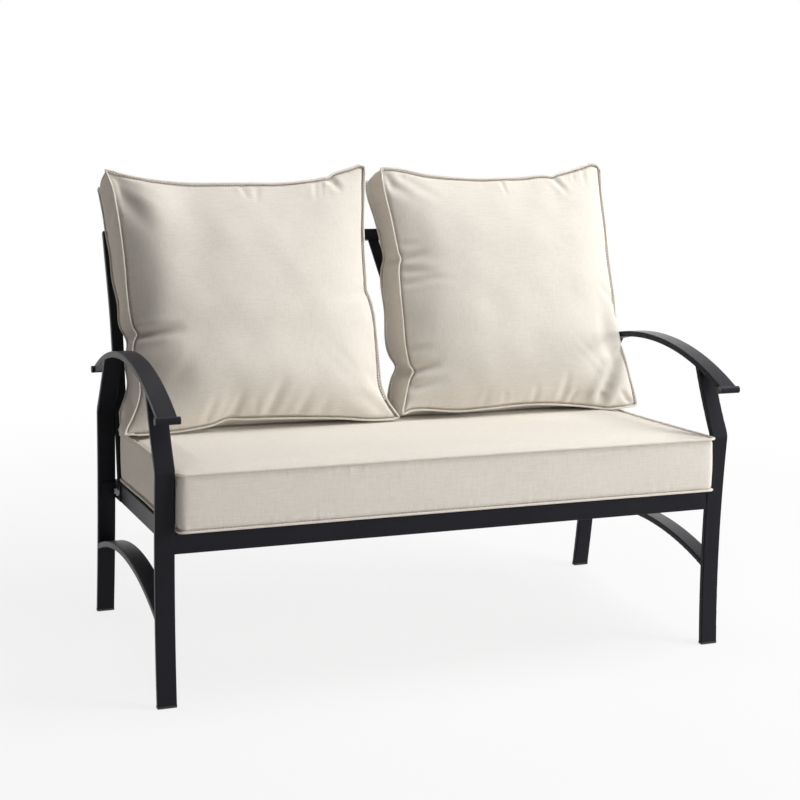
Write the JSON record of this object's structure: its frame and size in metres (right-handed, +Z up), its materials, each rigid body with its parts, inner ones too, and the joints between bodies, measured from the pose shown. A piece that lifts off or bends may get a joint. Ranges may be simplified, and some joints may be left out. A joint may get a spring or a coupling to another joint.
{
  "type": "patio loveseat",
  "caption": "Outdoor loveseat with a dark arched-arm steel frame, saber legs, a bent slatted back and thick boxed cushions with piping.",
  "frame": {"origin": "on the floor, at the centre of the bounding box's base", "axes": "+X along the width to the sitter's left, +Y towards the back, +Z up"},
  "size_m": [1.2404, 0.7108, 0.9766],
  "materials": {
    "frame_coat": "satin charcoal powder coat",
    "glide_plastic": "matt black moulded plastic",
    "plug_plastic": "matt black moulded plastic",
    "zinc_steel": "zinc plated",
    "cushion_fabric": "woven cream linen-look cloth",
    "cushion_filling": "soft foam and fibre filling",
    "zip_tape": "cream woven tape with nylon coil"
  },
  "bodies": {
    "frame": {"arm_roll_front_left": "frame_coat", "arm_roll_front_right": "frame_coat", "arm_roll_rear_left": "frame_coat", "arm_roll_rear_right": "frame_coat", "armrest_left": "frame_coat", "armrest_right": "frame_coat", "back_bar_inner_left": "frame_coat", "back_bar_inner_right": "frame_coat", "back_bar_middle_left": "frame_coat", "back_bar_middle_right": "frame_coat", "back_bar_outer_left": "frame_coat", "back_bar_outer_right": "frame_coat", "back_bolts": "zinc_steel", "back_lower_rail": "frame_coat", "back_top_rail": "frame_coat", "back_upright_left": "frame_coat", "back_upright_right": "frame_coat", "back_washers": "zinc_steel", "foot_glide_front_left": "glide_plastic", "foot_glide_front_right": "glide_plastic", "foot_glide_rear_left": "glide_plastic", "foot_glide_rear_right": "glide_plastic", "front_leg_left": "frame_coat", "front_leg_right": "frame_coat", "front_rail": "frame_coat", "leg_inserts": "zinc_steel", "rail_bolts": "zinc_steel", "rail_nuts": "zinc_steel", "rail_washers": "zinc_steel", "rear_leg_left": "frame_coat", "rear_leg_right": "frame_coat", "rear_rail": "frame_coat", "roll_plugs": "plug_plastic", "seat_bracket_front_left": "frame_coat", "seat_bracket_front_right": "frame_coat", "seat_bracket_rear_left": "frame_coat", "seat_bracket_rear_right": "frame_coat", "seat_rail_left": "frame_coat", "seat_rail_right": "frame_coat", "seat_slat_1": "frame_coat", "seat_slat_2": "frame_coat", "seat_slat_3": "frame_coat", "seat_slat_4": "frame_coat", "seat_slat_5": "frame_coat", "seat_slat_6": "frame_coat", "seat_slat_7": "frame_coat", "stretcher_left": "frame_coat", "stretcher_right": "frame_coat", "upright_cap_left": "plug_plastic", "upright_cap_right": "plug_plastic"},
    "seat_cushion": {"seat_cushion_core": "cushion_filling", "seat_cushion_cover": "cushion_fabric", "seat_cushion_zip": "zip_tape"},
    "back_cushion_left": {"back_cushion_core_left": "cushion_filling", "back_cushion_cover_left": "cushion_fabric", "back_cushion_zip_left": "zip_tape"},
    "back_cushion_right": {"back_cushion_core_right": "cushion_filling", "back_cushion_cover_right": "cushion_fabric", "back_cushion_zip_right": "zip_tape"}
  },
  "joints": [
    {"name": "seat_cushion_lift", "type": "slide", "parent": "frame", "child": "seat_cushion", "axis": [0, 0, 1], "range_m": [0, 0.55]},
    {"name": "back_cushion_left_lift", "type": "slide", "parent": "seat_cushion", "child": "back_cushion_left", "axis": [0, 0.3223, 0.9466], "range_m": [0, 0.45]},
    {"name": "back_cushion_right_lift", "type": "slide", "parent": "seat_cushion", "child": "back_cushion_right", "axis": [0, 0.3223, 0.9466], "range_m": [0, 0.45]}
  ]
}
